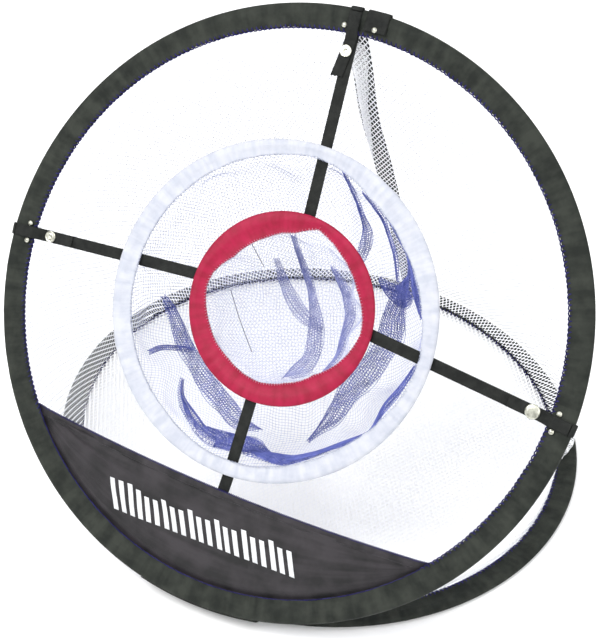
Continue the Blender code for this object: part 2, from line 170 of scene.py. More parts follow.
# The hinge cloth's half width as an angle, and the plane halfway between the two hoops
HINGE_HALF_ANGLE = math.radians(12)
HINGE_BISECTOR = math.radians(27.6)
FOLD_NORMAL = np.array((0, -math.sin(HINGE_BISECTOR), math.cos(HINGE_BISECTOR)))

# The catch net's wall and the floor net; half of a knitted diamond, and the hole's share of it
NET_EDGE_RADIUS = 0.2365
NET_BASE_RADIUS = 0.2330
NET_EDGE_BEHIND = 0.0016
NET_EDGE_HEIGHT = 0.0018
NET_BULGE = 0.006
NET_SLACK = 0.0035
WALL_TALLEST = 0.50
MESH_HALF_X = 0.0023
MESH_HALF_Y = 0.0040
MESH_HOLE = 0.72
FLOOR_HALF = 0.240
FLOOR_NET_RADIUS = NET_BASE_RADIUS + 0.0035
# The wall passes outside the base sleeve where the sine of the angle is past these
NET_OVER_START = 0.16
NET_OVER_RANGE = 0.2
NET_OVER_INSET = 0.0012
NET_OVER_CLEAR = 0.0010
NET_HEM = 0.0195
# Where the stay holds the wall in
STAY_MIDDLE = -0.002
STAY_HOLD_WIDTH = 0.026
# The two halves of the wall: flat height and flat area of thread
WALL_HALVES = {"front": (0.225, 0.1017), "base": (0.240, 0.1080)}

# The bags: the radius of each flat round cut, and the straps that cross their mouths
MIDDLE_CUT = 0.170
INNER_CUT = 0.094
MOUTH_TURN = 0.010
POCKET_BEHIND = 0.0054
MOUTH_BEHIND = 0.0012
BAG_SOFTENING = 60
STRAP_ANGLES = np.radians((3, 91, 176, -91))

# The threads of a fold: spacing, softening, the rise of each layer, the arch and the loose ends
FOLD_STEP = 0.001
FOLD_SOFTENING = 60
FOLD_PITCH_ALONG = 0.0026
FOLD_PITCH_ACROSS = 0.0025
FOLD_RISE = 0.0004
FOLD_LAYER = 0.0006
FOLD_ARCH = 0.0016
FOLD_STAGGER = 0.24
FOLD_LEAST = 0.0022

# The gather along the stay: share of its length, then millimetres right, forward, half width
STAY_GATHER = ((0.985, 2, 9, 8), (0.94, 3, 9, 9), (0.88, 1, 9, 6), (0.80, -3, 8, 4),
               (0.70, -5, 8, 3), (0.60, -6, 8, 0.6))
# Folds of the bags: flat (x, y, half width) in millimetres on each bag's round cut
MIDDLE_FOLDS = (
    ((-132, -18, 1), (-120, -26, 6), (-97, -46, 9), (-73, -72, 10), (-46, -86, 11), (-23, -100, 9),
     (0, -110, 3)),
    ((60, 62, 1), (72, 57, 6), (88, 54, 10), (104, 55, 9), (120, 58, 2)),
    ((104, 72, 1), (96, 56, 12), (88, 36, 14), (78, 14, 12), (72, -12, 12), (65, -40, 12),
     (58, -72, 9), (46, -98, 2)),
    ((-90, -92, 0.4), (-82, -106, 4), (-68, -121, 8), (-46, -136, 12), (-28, -132, 18),
     (-4, -142, 20), (23, -149, 20), (51, -140, 19), (80, -126, 16), (106, -109, 12),
     (124, -84, 8), (144, -60, 6), (158, -38, 4), (165, -9, 0.5)),
    ((36, 166, 0.3), (41, 132, 2), (50, 106, 4.5), (44, 86, 5), (36, 66, 3)),
    ((59, 152, 0.3), (69, 116, 1.8), (80, 88, 3), (86, 66, 1)),
    ((96, 138, 0.3), (104, 112, 3), (112, 92, 4.5), (112, 74, 5), (104, 58, 2)),
    ((99, 134, 0.3), (118, 98, 6), (128, 66, 10), (124, 36, 3)),
    ((-128, -84, 0.4), (-116, -68, 2.5), (-98, -57, 2.5), (-88, -54, 0.4)),
)
INNER_FOLDS = (
    ((-32, 42, 1), (-26, 30, 4), (-18, 19, 5), (-6, 8, 6), (6, 2, 6), (20, -3, 1)),
    ((22, 54, 1), (30, 44, 6), (39, 30, 10), (47, 14, 11), (53, -4, 10), (53, -26, 8),
     (44, -50, 3)),
    ((-15, 88, 0.4), (-10, 49, 3), (3, 29, 4), (14, 2, 6), (20, -24, 9), (20, -52, 10),
     (18, -70, 6)),
)
INNER_SEAMS = (((-62, 64), (-46, 37)), ((-74, 2), (-52, -22), (-31, -47)))

CAMERA_AZIMUTH = math.radians(21.42)
CAMERA_HEIGHT = math.radians(38.62)
CAMERA_ROLL = math.radians(4.16)
CAMERA_DISTANCE = 1.2266
CAMERA_SLIDE = (-0.0262, 0.020)
CAMERA_AIM = np.array((0, 0.0076, 0.1028))
CAMERA_LENS = 72.34

FLOOR_REACH = 20
FLOOR_BELOW = 0.0002
# The world's light: strength, and (place from nadir to zenith, colour) of its two ends
SKY_STRENGTH = 1.30
SKY_ENDS = ((0.45, (0.50, 0.505, 0.51)), (1.0, (0.99, 0.995, 1.0)))
# Lamps: name, spot, size in metres and watts
LAMPS = (("key", (-0.9, -1.4, 2.2), 1.2, 48), ("fill", (1.6, -0.9, 1.4), 1.8, 13.5))
LAMP_TARGET = (0, 0, 0.15)

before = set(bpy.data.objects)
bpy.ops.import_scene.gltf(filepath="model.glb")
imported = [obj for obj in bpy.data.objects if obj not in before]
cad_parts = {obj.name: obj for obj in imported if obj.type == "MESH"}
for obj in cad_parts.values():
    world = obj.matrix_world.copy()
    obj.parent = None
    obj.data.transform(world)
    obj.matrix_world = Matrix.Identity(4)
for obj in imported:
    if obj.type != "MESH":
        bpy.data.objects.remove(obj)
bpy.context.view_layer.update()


# ---------------- small tools

def at(plane, x, y, z=0.0):
    """Points given in a plane's own coordinates: across, up, out."""
    x, y, z = np.broadcast_arrays(np.asarray(x, float), y, z)
    origin, right, up, out = plane
    return origin + x[..., None] * right + y[..., None] * up + z[..., None] * out


def unit(vectors):
    length = np.linalg.norm(vectors, axis=-1, keepdims=True)
    return vectors / np.maximum(length, 1e-12)


def smooth(share):
    share = np.clip(share, 0, 1)
    return share * share * (3 - 2 * share)


def level(x, y):
    """Points at height 0, in the shape of x and y."""
    return np.stack((x, y, x * 0), -1)


def soften(values, passes):
    """Evens out rows of values in place. The two ends stay."""
    for _ in range(passes):
        values[1:-1] = (values[:-2] + 2 * values[1:-1] + values[2:]) / 4
    return values


def ripple(points, size, seed=0.0):
    """Smooth noise from -1 to 1 at each point, for features of the given size."""
    flat = np.asarray(points, float).reshape(-1, 3) / size + seed
    values = [noise.noise(Vector(p)) for p in flat]
    return np.array(values).reshape(np.shape(points)[:-1])


def rounded(path, spacing, passes=3):
    """An even, softened copy of a path of 2D or 3D points."""
    path = np.asarray(path, float)
    step = np.linalg.norm(np.diff(path, axis=0), axis=1)
    along = np.concatenate(([0], np.cumsum(step)))
    count = max(int(along[-1] / spacing), 4)
    wanted = np.linspace(0, along[-1], count + 1)
    dense = np.stack([np.interp(wanted, along, path[:, k]) for k in range(path.shape[1])], 1)
    return soften(dense, passes)


def linked(name, data):
    obj = bpy.data.objects.new(name, data)
    bpy.context.scene.collection.objects.link(obj)
    return obj


def build(name, points, faces, finish, uv=None):
    """A smooth mesh object from points and quads, with UVs given for each face corner."""
    points = np.asarray(points, float).reshape(-1, 3)
    faces = np.asarray(faces, np.int32)
    mesh = bpy.data.meshes.new(name)
    mesh.vertices.add(len(points))
    mesh.vertices.foreach_set("co", points.ravel())
    mesh.loops.add(faces.size)
    mesh.loops.foreach_set("vertex_index", faces.ravel())
    mesh.polygons.add(len(faces))
    mesh.polygons.foreach_set("loop_start", np.arange(0, faces.size, faces.shape[1]))
    mesh.update(calc_edges=True)
    if uv is not None:
        mesh.uv_layers.new(name="UVMap").data.foreach_set("uv", np.asarray(uv, float).ravel())
    mesh.shade_smooth()
    mesh.materials.append(finish)
    return linked(name, mesh)


def fit(piece, body, node=None):
    """Ties a piece to the CAD node it replaces and the body it rides."""
    if node:
        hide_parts(node)
    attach(piece, body)


def grid_faces(rows, cols, wrap, cell, caps=0):
    """Quads over a grid of points, and the UV of each of their corners.

    wrap says whether the rows and the columns close up. caps of 1 or -1 closes both row ends,
    for a grid that faces out or in.
    """
    i, j = np.meshgrid(np.arange(rows - (not wrap[0])), np.arange(cols - (not wrap[1])),
                       indexing="ij")
    corners = ((i, j), (i + 1, j), (i + 1, j + 1), (i, j + 1))
    faces = np.stack([(a % rows) * cols + b % cols for a, b in corners], -1).reshape(-1, 4)
    uv = np.stack([np.stack((a * cell[0], b * cell[1]), -1) for a, b in corners], -2)
    uv = uv.reshape(-1, 2)
    if caps:
        ends = []
        for row, way in ((0, caps), (rows - 1, -caps)):
            ring = np.arange(cols) + row * cols
            for k in range(cols // 2 - 1 + cols % 2):
                ends.append([ring[k], ring[k + 1], ring[-k - 2], ring[-k - 1]][::way])
        ends = np.array([quad for quad in ends if len(set(quad)) == 4])
        faces = np.concatenate((faces, ends))
        uv = np.concatenate((uv, np.zeros((len(ends) * 4, 2))))
    return faces, uv


def skin(name, grid, finish, wrap=(False, False), cell=(1.0, 1.0), caps=0):
    """A quad skin over a grid of points, in the terms of grid_faces."""
    faces, uv = grid_faces(*grid.shape[:2], wrap, cell, caps)
    return build(name, grid, faces, finish, uv)


def tubes(name, points, line, normals, radius, finish, sides=3):
    """Round strands through points; line numbers the strand that each point belongs to."""
    line = np.broadcast_to(line, len(points))
    same = line[1:] == line[:-1]
    step = np.zeros_like(points)
    ahead = np.diff(points, axis=0) * same[:, None]
    step[:-1] += ahead
    step[1:] += ahead
    along = unit(step)
    side = unit(np.cross(normals, along))
    up = np.cross(along, side)
    turn = np.arange(sides) * math.tau / sides
    ring = (points[:, None] + radius * (np.cos(turn)[None, :, None] * up[:, None]
                                        + np.sin(turn)[None, :, None] * side[:, None]))
    first = np.nonzero(same)[0]
    k = np.arange(sides)
    a = first[:, None] * sides + k
    b = first[:, None] * sides + (k + 1) % sides
    faces = np.stack((a, b, b + sides, a + sides), -1).reshape(-1, 4)
    return build(name, ring, faces, finish)


def ribbon(name, node, body, path, axes, width=STRAP_WIDTH, thick=STRAP_THICK, spacing=0.0008,
           skew=0.0, frayed=0.0, drift=None):
    """Webbing with rounded selvedges. The path is (along, out).

    skew leans its far part sideways, and frayed roughens its far end. drift gives a sideways
    shift for a share of the length.
    """
    origin, along_axis, out_axis, across_axis = axes
    path = rounded(path, spacing)
    tangent = unit(np.gradient(path, axis=0))
    normal = np.stack((-tangent[:, 1], tangent[:, 0]), 1)
    stations = np.linspace(-1, 1, RIBBON_STATIONS)
    crown = thick / 2 * (1 - 0.45 * np.abs(stations) ** 6)
    profile = np.concatenate((np.stack((stations * width / 2, crown), 1),
                              np.stack((stations[::-1] * width / 2, -crown[::-1]), 1)))
    rows = []
    length = np.concatenate(([0], np.cumsum(np.linalg.norm(np.diff(path, axis=0), axis=1))))
    for far, (a, o), (na, no) in zip(length, path, normal):
        lean = skew * max(far - length[-1] * SKEW_START, 0)
        if drift:
            lean += drift(far / length[-1])
        across = profile[:, 0] + lean
        at_end = frayed * smooth((far - length[-1] + FRAY_REACH) / FRAY_REACH)
        back = at_end * (0.5 + 0.5 * np.sin(profile[:, 0] * 2100 + 1))
        x = a + na * profile[:, 1] - back * np.sign(path[-1, 0] - path[0, 0])
        y = o + no * profile[:, 1]
        rows.append(origin + x[:, None] * along_axis + y[:, None] * out_axis
                    + across[:, None] * across_axis)
    strip = skin(name, np.array(rows), WEBBING, (False, True), (spacing, width / RIBBON_STATIONS),
                 1)
    fit(strip, body, node)
    return strip


def lathe(name, profile, origin, out, finish, steps=40):
    """A profile of (radius, height) turned about an axis, closed at its two ends on the axis."""
    out = unit(np.asarray(out, float))
    side = unit(np.cross(out, X_AXIS if abs(out[0]) < 0.9 else Y_AXIS))
    other = np.cross(out, side)
    turn = np.arange(steps) * math.tau / steps
    spin = np.cos(turn)[:, None] * side + np.sin(turn)[:, None] * other
    grid = np.array([origin + max(r, 1e-5) * spin + h * out for r, h in profile])
    return skin(name, grid, finish, (False, True), (0.001, 0.001), 1)


# ---------------- materials

def node_material(name, roughness, specular=0.5, metallic=0.0):
    made = bpy.data.materials.new(name)
    made.use_nodes = True
    shader = made.node_tree.nodes["Principled BSDF"]
    shader.inputs["Metallic"].default_value = metallic
    shader.inputs["Roughness"].default_value = roughness
    shader.inputs["Specular IOR Level"].default_value = specular
    return made, made.node_tree, shader


def add(tree, kind, **values):
    """A node with its own settings and its inputs given; _ stands for the space in a name."""
    node = tree.nodes.new(kind)
    for key, value in values.items():
        if hasattr(node, key):
            setattr(node, key, value)
        else:
            node.inputs[key.replace("_", " ")].default_value = value
    return node


def join(tree, source, output, target, socket):
    tree.links.new(source.outputs[output], target.inputs[socket])


def ramp(tree, stops):
    """A colour ramp with its two stops given as (position, colour)."""
    made = add(tree, "ShaderNodeValToRGB")
    for stop, (position, colour) in enumerate(stops):
        made.color_ramp.elements[stop].position = position
        made.color_ramp.elements[stop].color = (*colour, 1)
    return made


def bumped(tree, shader, source, output, depth, strength):
    bump = add(tree, "ShaderNodeBump", Strength=strength, Distance=depth)
    join(tree, source, output, bump, "Height")
    join(tree, bump, "Normal", shader, "Normal")


def tinted(tree, shader, dark, light, size, detail=3.0, spread=0.18):
    """Colour that wanders between two tones over patches of the given size."""
    place = add(tree, "ShaderNodeTexCoord")
    blotch = add(tree, "ShaderNodeTexNoise", Scale=1 / size, Detail=detail, Roughness=0.6)
    join(tree, place, "Object", blotch, "Vector")
    tones = ramp(tree, ((0.5 - spread, dark), (0.5 + spread, light)))
    join(tree, blotch, "Fac", tones, "Fac")
    join(tree, tones, "Color", shader, "Base Color")
    return tones, blotch


def woven(tree, shader, pitch, depth):
    """Bump of crossing yarns at a pitch in metres, along and across the cloth's own UVs."""
    place = add(tree, "ShaderNodeTexCoord")
    yarns = add(tree, "ShaderNodeMath", operation="MAXIMUM")
    for number, direction in enumerate(("X", "Y")):
        wave = add(tree, "ShaderNodeTexWave", bands_direction=direction, Scale=0.314 / pitch,
                   Distortion=0.4, Detail=1.0)
        join(tree, place, "UV", wave, "Vector")
        join(tree, wave, "Fac", yarns, number)
    bumped(tree, shader, yarns, 0, depth, 0.6)


def cloth(name, dark, light, pitch, depth, size, roughness, specular=0.4, shade_streak=None):
    """Woven cloth. shade_streak is the spacing of painted shade and sheen streaks in the colour,
    standing for gathered creases that run across the strip.
    """
    made, tree, shader = node_material(name, roughness, specular)
    if shade_streak:
        tones, blotch = tinted(tree, shader, dark, light, size, spread=0.10)
        # The stretched crease noise swings the colour between its tones: painted shade and sheen
        # of gathered creases.
        place = add(tree, "ShaderNodeTexCoord")
        squeeze = add(tree, "ShaderNodeMapping", Scale=(1 / shade_streak, 0.12 / shade_streak, 1))
        crease = add(tree, "ShaderNodeTexNoise", Scale=1.0, Detail=3.0, Roughness=0.55)
        half = add(tree, "ShaderNodeMath", operation="MULTIPLY")
        both = add(tree, "ShaderNodeMath", operation="MULTIPLY_ADD")
        half.inputs[1].default_value = both.inputs[1].default_value = 0.5
        join(tree, place, "UV", squeeze, "Vector")
        join(tree, squeeze, "Vector", crease, "Vector")
        join(tree, blotch, "Fac", half, 0)
        join(tree, crease, "Fac", both, 0)
        join(tree, half, 0, both, 2)
        join(tree, both, 0, tones, "Fac")
    else:
        tinted(tree, shader, dark, light, size)
    woven(tree, shader, pitch, depth)
    return made


def thread(name, dark, light, roughness=0.6, specular=0.5):
    made, tree, shader = node_material(name, roughness, specular)
    blotch = tinted(tree, shader, dark, light, 0.006)[1]
    bumped(tree, shader, blotch, "Fac", 0.0001, 0.3)
    return made


def metal(name, dark, light, roughness):
    made, tree, shader = node_material(name, roughness, metallic=1.0)
    blotch = tinted(tree, shader, dark, light, 0.002, 5.0)[1]
    rough = add(tree, "ShaderNodeMapRange", To_Min=roughness * 0.7, To_Max=roughness * 1.4)
    join(tree, blotch, "Fac", rough, "Value")
    join(tree, rough, "Result", shader, "Roughness")
    bumped(tree, shader, blotch, "Fac", 0.0001, 0.2)
    return made


# Cloths: two tones, the yarn's pitch and depth, the size of patches, and the roughness
# Four cloths also take painted shade and sheen streaks of gathered creases, at the spacing given
# last.
BLACK_CLOTH = cloth("black_polyester", (0.00698, 0.00929, 0.00698), (0.0244, 0.028, 0.0221),
                    0.0006, 0.00018, 0.014, 0.66, specular=0.23, shade_streak=0.012)
PANEL_CLOTH = cloth("black_panel_cloth", (0.00513, 0.0046, 0.00549), (0.0257, 0.0221, 0.0257),
                    0.0007, 0.00018, 0.022, 0.42, specular=0.30, shade_streak=0.014)
WEBBING = cloth("black_webbing", (0.00664, 0.00752, 0.00708), (0.0168, 0.0181, 0.0164),
                0.0011, 0.0003, 0.008, 0.7, specular=0.175)
WHITE_CLOTH = cloth("white_ring_cloth", (0.395, 0.414, 0.477), (0.489, 0.5, 0.546),
                    0.0006, 0.00010, 0.012, 0.6, shade_streak=0.0065)
RED_CLOTH = cloth("red_satin", (0.233, 0.00408, 0.0256), (0.32, 0.00641, 0.0419),
                  0.0005, 0.00008, 0.012, 0.46, specular=0.22, shade_streak=0.010)
PRINT_INK = cloth("white_print", (0.526, 0.539, 0.553), (0.684, 0.697, 0.711),
                  0.0007, 0.00008, 0.006, 0.55)
# Threads: two tones, the roughness, and the specular level
SEAM_THREAD = thread("indigo_overlock", (0.00885, 0.00708, 0.0513), (0.0265, 0.023, 0.133),
                     0.7, 0.2)
STITCH_THREAD = thread("black_stitching", (0.0233, 0.0233, 0.0256), (0.0582, 0.0582, 0.0641),
                       0.6, 0.3)
WHITE_THREAD = thread("white_stitching", (0.256, 0.291, 0.419), (0.489, 0.524, 0.652))
RED_THREAD = thread("pink_overlock", (0.372, 0.106, 0.177), (0.584, 0.354, 0.442), 0.6, 0.2)
CATCH_NET = thread("white_net", (0.90, 0.91, 0.94), (0.965, 0.97, 0.98), 0.65)
# The bags' net in a darker, bluish tone than the white catch net: painted bluish shade inside the
# bags.
SHADED_POCKET_NET = thread("white_net_painted_blue_shade", (0.415, 0.442, 0.654), (0.583, 0.618, 0.813))
# Darker, bluer copies of the bags' net for their folds: painted shade where the net lies in
# layers.
FOLD_SHADE_NET = thread("net_painted_deep_fold_shade", (0.074, 0.096, 0.33), (0.17, 0.20, 0.56), 0.6, 0.3)
PALE_FOLD_SHADE_NET = thread("net_painted_pale_fold_shade", (0.17, 0.19, 0.44), (0.32, 0.35, 0.64), 0.6, 0.3)
SNAP_METAL = metal("nickel_snap", (0.342, 0.342, 0.289), (0.684, 0.684, 0.592), 0.30)
SPRING_WIRE = metal("spring_wire", (0.30, 0.30, 0.31), (0.50, 0.50, 0.52), 0.35)
FERRULE = metal("crimped_ferrule", (0.45, 0.43, 0.38), (0.66, 0.63, 0.55), 0.4)


# ---------------- sewn rings

def half_profile(thick, seam):
    """Stations from the inner seam to the outer fold, and the half thickness at each."""
    share = np.array((1.0, 0.985, 0.94, 0.87, 0.78, 0.68, 0.60, 0.53, 0.46, 0.39, 0.32, 0.25,
                      0.18, 0.12, 0.07, 0.035, 0.010))
    near = np.sqrt(1 - np.clip((0.25 - share) / 0.25, 0, 1) ** 2)
    away = 1 - (1 - seam) * smooth((share - 0.36) / 0.45)
    lines = 1 - 0.16 * np.exp(-((share - 0.56) / 0.035) ** 2)
    lines *= 1 - 0.25 * np.exp(-((share - 0.90) / 0.03) ** 2)
    return share, thick / 2 * near * away * lines


def sewn_ring(name, plane, centre, radius, width, thick, finish, steps, wrinkle, seed,
              edge=0.0, gather=0.0, lowest=None):
    """A strip of cloth folded over a wire ring and seamed inside, with creases and gathers.

    width is a number or a function of the angle; wrinkle, edge and gather are in metres.
    """
    angle = np.arange(steps) * math.tau / steps
    wide = width(angle) if callable(width) else np.full(steps, width)
    share, half = half_profile(thick, 0.30)
    share = np.concatenate((share, [0.0], share[::-1]))
    half = np.concatenate((half, [0.0], -half[::-1]))
    around = level(np.cos(angle), np.sin(angle)) * radius
    ragged = edge * ripple(around, 0.006, seed) + edge * 0.8 * ripple(around, 0.017, seed + 9)
    reach = (wide + ragged)[:, None] * share[None]
    inward = radius - reach
    x = centre[0] + inward * np.cos(angle)[:, None]
    y = centre[1] + inward * np.sin(angle)[:, None]
    face = np.repeat(np.sign(half)[None] * 0.03, steps, 0)
    lean = np.stack((inward * 0.35 * np.cos(angle)[:, None],
                     inward * 0.35 * np.sin(angle)[:, None], face), -1)
    polar = np.stack((np.cos(angle)[:, None] * radius + reach * 0.2,
                      np.sin(angle)[:, None] * radius + reach * 0.2, face), -1)
    fade = np.clip(1.25 - share, 0, 1) ** 0.5 * (share > 0.03)
    crease = ripple(polar, 0.011, seed + 3) + 0.55 * ripple(polar, 0.0048, seed + 5)
    swell = ripple(lean, 0.03, seed + 7)
    out = half[None] + np.sign(half)[None] * fade * wrinkle * (crease + 0.7 * swell)
    if gather:
        tuck = np.abs(ripple(polar, 0.0075, seed + 21)) ** 1.5
        out = out - np.sign(half)[None] * fade * gather * tuck
    if lowest is not None:
        out = np.maximum(out, lowest)
    grid = at(plane, x, y, out)
    arc = math.tau * radius / steps
    return skin(name, grid, finish, (True, True), (arc, 0.0012))


def overlock(name, plane, centre, radius, width, finish, pitch, reach, high, strand, seed,
             steps=8, calm=None):
    """Thread wound over a ring's inner seam, one turn for each stitch.

    reach and high are half a stitch's size along the radius and out of the plane. calm gives
    the share of its size that the stitch keeps at an angle.
    """
    count = int(math.tau * (radius - 0.015) / pitch)
    k = np.arange(count * steps + 1)
    angle = k / steps * math.tau / count
    wide = width(angle) if callable(width) else width
    turn = k / steps * math.tau
    shaky = 1 + 0.25 * ripple(level(np.cos(angle), np.sin(angle)) * radius, 0.006, seed)
    if calm:
        reach, high = reach * calm(angle), high * calm(angle)
    inner = radius - wide + reach * 0.35 - reach * shaky * np.cos(turn)
    across = high * np.sin(turn)
    lean = 0.35 * pitch / radius * np.sin(turn)
    x = centre[0] + inner * np.cos(angle + lean)
    y = centre[1] + inner * np.sin(angle + lean)
    points = at(plane, x, y, across)
    normals = at(plane, np.cos(angle), np.sin(angle)) - plane[0]
    return tubes(name, points, 0, normals, strand, finish)


def beside_panel(angle):
    """The front sleeve's stitches lie flat where the panel is sewn in."""
    turn = (angle + math.pi) % math.tau - math.pi
    inside = smooth((turn - PANEL_LEFT) / 0.06) * smooth((PANEL_RIGHT - turn) / 0.06)
    return 1 - 0.75 * inside


def hoop(name, plane, body, node, seed, lowest=None):
    sleeve = sewn_ring(name, plane, (0, 0), HOOP_RADIUS, SLEEVE_WIDTH, SLEEVE_THICK, BLACK_CLOTH,
                       720, 0.00055, seed, 0.0006, 0.0004, lowest)
    fit(sleeve, body, node)
    seam = overlock(name + "_seam", plane, (0, 0), HOOP_RADIUS, SLEEVE_WIDTH, SEAM_THREAD, 0.0042,
                    0.0015, 0.0012, 0.00072, seed, calm=beside_panel if body == "front" else None)
    fit(seam, body)


def gathered(angle, known):
    """A sleeve's width at an angle, from pairs of degrees and millimetres."""
    degrees = np.degrees(angle) % 360
    return np.interp(degrees, [k[0] for k in known], [k[1] for k in known]) / 1000


def red_width(angle):
    return gathered(angle, RED_WIDTHS)


def white_width(angle):
    return gathered(angle, WHITE_WIDTHS)


def rings():
    hoop("front_sleeve", FRONT, "front", "front_hoop_sleeve", 2.0)
    hoop("base_sleeve", BASE, "base", "base_hoop_sleeve", 11.0, -SLEEVE_THICK / 2 + CLEARANCE)
    middle = sewn_ring("middle_sleeve", FRONT, MIDDLE_CENTRE, MIDDLE_RADIUS, white_width,
                       RING_THICK, WHITE_CLOTH, 480, 0.0006, 31.0, 0.0008, 0.0011)
    inner = sewn_ring("inner_sleeve", FRONT, INNER_CENTRE, INNER_RADIUS, red_width, RING_THICK,
                      RED_CLOTH, 360, 0.0004, 47.0, 0.0004, 0.0006)
    middle_seam = overlock("middle_seam", FRONT, MIDDLE_CENTRE, MIDDLE_RADIUS, white_width,
                           WHITE_THREAD, 0.0028, 0.0009, 0.0009, 0.00026, 33.0)
    inner_seam = overlock("inner_seam", FRONT, INNER_CENTRE, INNER_RADIUS, red_width, RED_THREAD,
                          0.0024, 0.0009, 0.0010, 0.00030, 35.0)
    fit(middle, "front", "middle_ring_sleeve")
    fit(inner, "front", "inner_ring_sleeve")
    fit(middle_seam, "front")
    fit(inner_seam, "front")


# ---------------- panel

def panel_top(share):
    """Points on the panel's sagging top line, from its left end to its right."""
    ends = [np.array((math.cos(a), math.sin(a))) * PANEL_RADIUS for a in (PANEL_LEFT, PANEL_RIGHT)]
    point = ends[0] + (ends[1] - ends[0]) * share[..., None]
    point[..., 1] -= PANEL_SAG * 4 * share * (1 - share)
    return point


def panel_tuck(x, y):
    """The edge of the panel goes in behind the sleeve."""
    return -PANEL_TUCK * smooth((np.hypot(x, y) - PANEL_TUCK_START) / PANEL_TUCK_RANGE)


def panel_lift(x, y):
    """How far the panel's cloth stands out of the hoop's plane at a point."""
    room = smooth((0.2370 - np.hypot(x, y)) / 0.035)
    left = smooth((-0.02 - x) / 0.12)
    corner = np.array((math.cos(PANEL_LEFT), math.sin(PANEL_LEFT))) * PANEL_RADIUS
    away = np.hypot(x - corner[0], y - corner[1])
    fan = np.arctan2(y - corner[1], x - corner[0])
    pull = np.sin(fan * 19 + 1.2 * np.sin(fan * 7 + 2)) * smooth(away / 0.03)
    pull = pull * np.exp(-away / 0.09) * 0.0022
    flat = level(x + 0.5 * y, 0.35 * (y - 0.4 * x))
    creases = ripple(flat, 0.022, 4.0) * 0.0024 + ripple(flat, 0.009, 8.0) * 0.0008
    return room * (0.0006 + creases * (0.45 + 0.9 * left) + pull) + panel_tuck(x, y)


def stripes():
    """A plain printed band of slanted bars across the panel."""
    faces, uv, points = [], [], []
    for k in range(STRIPE_COUNT):
        tall = STRIPE_HIGH * (1 + 0.10 * math.cos(k * 2.1))
        if k < STRIPE_TALL_COUNT:
            tall = STRIPE_TALL
        a, t = np.meshgrid(np.linspace(0, 1, 5), np.linspace(0, 1, 14), indexing="ij")
        x = STRIPE_START + STRIPE_PITCH * k + a * STRIPE_WIDE - (t - 0.5) * tall * STRIPE_SLANT
        y = STRIPE_LEVEL + t * tall
        lift = panel_lift(x, y) + PANEL_HALF_THICK
        grid = np.concatenate((at(FRONT, x, y, lift + INK_ABOVE),
                               at(FRONT, x, y, lift - INK_BELOW)[:, ::-1]), 1)
        bar_faces, bar_uv = grid_faces(*grid.shape[:2], (False, True), (0.001, 0.0016), -1)
        faces.append(bar_faces + grid[..., 0].size * k)
        uv.append(bar_uv)
        points.append(grid.reshape(-1, 3))
    marks = build("panel_print", np.concatenate(points), np.concatenate(faces), PRINT_INK,
                  np.concatenate(uv))
    fit(marks, "front")
    return marks


def panel_hem():
    """The folded hem along the panel's top, its row of stitches and its overlocked edge."""
    share = np.linspace(-0.012, 1.012, 280)
    path = panel_top(share) - np.array((0, HEM_WIDTH / 2))
    tangent = unit(np.gradient(path, axis=0))
    side = np.stack((-tangent[:, 1], tangent[:, 0]), 1)
    across = np.array((-1, -0.92, -0.72, -0.4, 0, 0.4, 0.72, 0.92, 1.0))
    high = HEM_HALF_THICK * np.array((0.35, 0.75, 0.92, 0.98, 1, 0.98, 0.95, 0.85, 0.4))
    across = np.concatenate((across, across[::-1])) * HEM_WIDTH / 2
    high = np.concatenate((high, -high[::-1]))
    wavy = 1 + 0.12 * ripple(level(share * 0.36, share * 0), 0.01, 6.0)
    x = path[:, :1] + side[:, :1] * across * wavy[:, None]
    y = path[:, 1:] + side[:, 1:] * across * wavy[:, None]
    puffy = 1 + 0.33 * ripple(level(x, y * 2.0), 0.008, 14.0)
    hem = skin("panel_hem_fold", at(FRONT, x, y, high * puffy * 1.05 + panel_tuck(x, y)),
               PANEL_CLOTH, (False, True), (0.0014, 0.0009), 1)
    fit(hem, "front", "panel_hem")

    number = np.repeat(np.arange(HEM_STITCHES), 4)
    step = (number + np.tile((0.1, 0.32, 0.68, 0.9), HEM_STITCHES)) / HEM_STITCHES
    spots = panel_top(0.03 + 0.94 * step) - np.array((0, HEM_WIDTH * 0.82))
    height = 0.00105 + np.tile((-0.0003, 0.00015, 0.00015, -0.0003), HEM_STITCHES)
    stitches = tubes("panel_hem_stitches", at(FRONT, *spots.T, height), number, FACING,
                     STITCH_THICK, STITCH_THREAD)
    fit(stitches, "front")

    step = np.linspace(0, 1, HEM_TURNS * 8 + 1)
    turn = step * HEM_TURNS * math.tau
    x, y = panel_top(step).T
    points = at(FRONT, x, y - 0.0002 + 0.0005 * np.cos(turn),
                0.0012 * np.sin(turn) + panel_tuck(x, y))
    edging = tubes("panel_hem_overlock", points, 0, FACING, 0.00060, SEAM_THREAD)
    fit(edging, "front")
    return [hem, stitches, edging]


def panel():
    a = np.linspace(0.004, 0.996, 230)
    t = np.linspace(0, 1, 60)[:, None, None]
    angle = PANEL_LEFT + (PANEL_RIGHT - PANEL_LEFT) * a
    arc = np.stack((np.cos(angle), np.sin(angle)), 1) * (PANEL_RADIUS + PANEL_UNDER_SLEEVE)
    top = panel_top(a) - np.array((0, HEM_WIDTH / 2))
    spots = arc * (1 - t) + top * t
    x, y = spots[..., 0], spots[..., 1]
    lift = panel_lift(x, y)
    grid = np.concatenate((at(FRONT, x, y, lift + PANEL_HALF_THICK),
                           at(FRONT, x, y, lift - PANEL_HALF_THICK)[::-1]))
    fabric = skin("panel", grid, PANEL_CLOTH, (True, False), (0.0017, 0.0016))
    fit(fabric, "front", "bottom_panel")
    marks = stripes()
    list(panel_hem())


# ---------------- straps and fasteners

